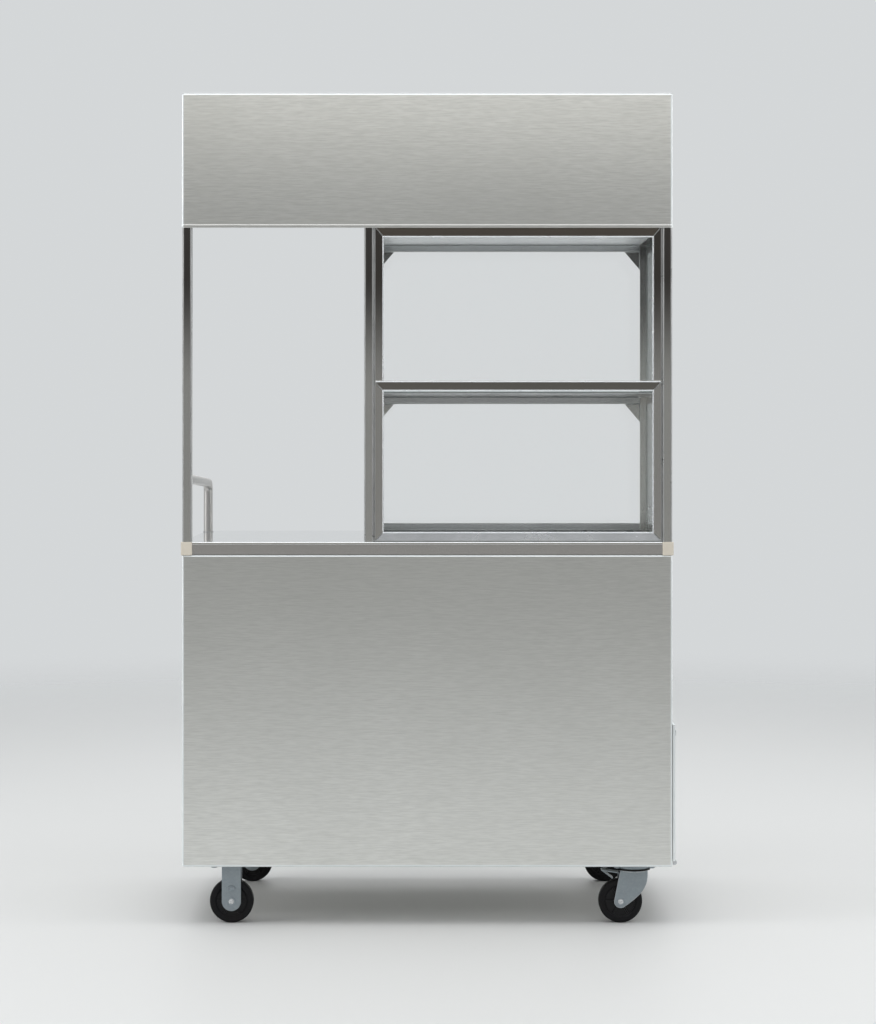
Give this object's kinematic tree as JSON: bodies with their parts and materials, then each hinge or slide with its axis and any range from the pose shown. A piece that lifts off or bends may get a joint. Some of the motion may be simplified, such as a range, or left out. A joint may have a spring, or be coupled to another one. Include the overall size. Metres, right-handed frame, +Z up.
{
  "type": "street food cart",
  "caption": "Stainless street food cart on casters: closed cabinet, counter with an open serving gap, glazed display case open at the back, and a roof hood with a tall front board.",
  "frame": {"origin": "on the floor, under the centre of the bounding box", "axes": "+X to the right as the customer sees it, +Y from the customer towards the seller at the open back, +Z up"},
  "size_m": [1.0334, 0.6274, 1.7],
  "materials": {
    "frame_tube": "drawn stainless tube, satin with a fine lengthwise grain",
    "case_angle": "dark satin stainless angle with bright folded edges",
    "sheet_panel": "stainless sheet with a fine brushed grain",
    "polished_plate": "bright polished stainless that mirrors what is near it",
    "clear_pane": "clear glass with a faint green edge",
    "cream_cap": "cream moulded plastic",
    "zinc_caster": "bright zinc plating, slightly dull",
    "caster_tyre": "black moulded rubber",
    "black_plastic": "black moulded plastic"
  },
  "bodies": {
    "cart_body": {"base_frame": "frame_tube", "post_front_left": "frame_tube", "post_front_right": "frame_tube", "post_middle_front": "frame_tube", "post_middle_rear": "frame_tube", "post_rear_right": "frame_tube", "post_rear_left": "frame_tube", "counter_frame": "frame_tube", "case_top_rail": "frame_tube", "case_middle_rail": "frame_tube", "case_bottom_rail": "frame_tube", "roof_frame": "frame_tube", "side_hand_rail": "frame_tube", "case_front_frame": "case_angle", "case_left_frame": "case_angle", "case_right_frame": "case_angle", "floor_pan": "sheet_panel", "front_panel": "sheet_panel", "left_side_panel": "sheet_panel", "right_side_panel": "sheet_panel", "cabinet_shelf": "sheet_panel", "roof_top": "sheet_panel", "front_board": "sheet_panel", "hood_shell": "sheet_panel", "counter_top": "polished_plate", "case_shelf": "polished_plate", "case_ceiling": "polished_plate", "front_glass_upper": "clear_pane", "front_glass_lower": "clear_pane", "left_glass": "clear_pane", "right_glass": "clear_pane", "corner_cap_left": "cream_cap", "corner_cap_right": "cream_cap", "rigid_fork_front": "zinc_caster", "rigid_axle_front": "zinc_caster", "rigid_fork_rear": "zinc_caster", "rigid_axle_rear": "zinc_caster", "swivel_plate_front": "zinc_caster", "swivel_plate_rear": "zinc_caster", "side_hatch_hinge": "zinc_caster", "bearing_ring_front": "black_plastic", "bearing_ring_rear": "black_plastic", "door_catch": "black_plastic"},
    "front_left_wheel": {"wheel_front_left": "caster_tyre"},
    "rear_left_wheel": {"wheel_rear_left": "caster_tyre"},
    "front_right_caster": {"swivel_fork_front": "zinc_caster", "swivel_axle_front": "zinc_caster"},
    "front_right_wheel": {"wheel_front_right": "caster_tyre"},
    "front_brake_pedal": {"brake_pedal_front": "zinc_caster"},
    "rear_right_caster": {"swivel_fork_rear": "zinc_caster", "swivel_axle_rear": "zinc_caster"},
    "rear_right_wheel": {"wheel_rear_right": "caster_tyre"},
    "rear_brake_pedal": {"brake_pedal_rear": "zinc_caster"},
    "left_rear_door": {"rear_door_left": "sheet_panel", "rear_door_left_handle": "polished_plate"},
    "right_rear_door": {"rear_door_right": "sheet_panel", "rear_door_right_handle": "polished_plate"},
    "side_hatch": {"side_hatch": "sheet_panel", "side_hatch_handle": "polished_plate"}
  },
  "joints": [
    {"name": "front_left_wheel_spin", "type": "hinge", "parent": "cart_body", "child": "front_left_wheel", "pos_m": [-0.41625, -0.26125, 0.045], "axis": [0, 1, 0], "continuous": true},
    {"name": "rear_left_wheel_spin", "type": "hinge", "parent": "cart_body", "child": "rear_left_wheel", "pos_m": [-0.40625, 0.23875, 0.045], "axis": [0, 1, 0], "continuous": true},
    {"name": "front_right_caster_swivel", "type": "hinge", "parent": "cart_body", "child": "front_right_caster", "pos_m": [0.40975, -0.26125, 0.1], "axis": [0, 0, 1], "continuous": true},
    {"name": "front_right_wheel_spin", "type": "hinge", "parent": "front_right_caster", "child": "front_right_wheel", "pos_m": [0.38275, -0.26125, 0.045], "axis": [0, 1, 0], "continuous": true},
    {"name": "front_brake_press", "type": "hinge", "parent": "front_right_caster", "child": "front_brake_pedal", "pos_m": [0.38875, -0.26125, 0.098], "axis": [0, -1, 0], "range_deg": [0, 7]},
    {"name": "rear_right_caster_swivel", "type": "hinge", "parent": "cart_body", "child": "rear_right_caster", "pos_m": [0.40975, 0.23875, 0.1], "axis": [0, 0, 1], "continuous": true},
    {"name": "rear_right_wheel_spin", "type": "hinge", "parent": "rear_right_caster", "child": "rear_right_wheel", "pos_m": [0.38275, 0.23875, 0.045], "axis": [0, 1, 0], "continuous": true},
    {"name": "rear_brake_press", "type": "hinge", "parent": "rear_right_caster", "child": "rear_brake_pedal", "pos_m": [0.38875, 0.23875, 0.098], "axis": [0, -1, 0], "range_deg": [0, 7]},
    {"name": "left_rear_door_hinge", "type": "hinge", "parent": "cart_body", "child": "left_rear_door", "pos_m": [-0.49485, 0.29335, 0.449], "axis": [0, 0, 1], "range_deg": [0, 120]},
    {"name": "right_rear_door_hinge", "type": "hinge", "parent": "cart_body", "child": "right_rear_door", "pos_m": [0.46635, 0.29335, 0.449], "axis": [0, 0, -1], "range_deg": [0, 120]},
    {"name": "side_hatch_drop", "type": "hinge", "parent": "cart_body", "child": "side_hatch", "pos_m": [0.49275, -0.01125, 0.1265], "axis": [0, 1, 0], "range_deg": [0, 90]}
  ]
}
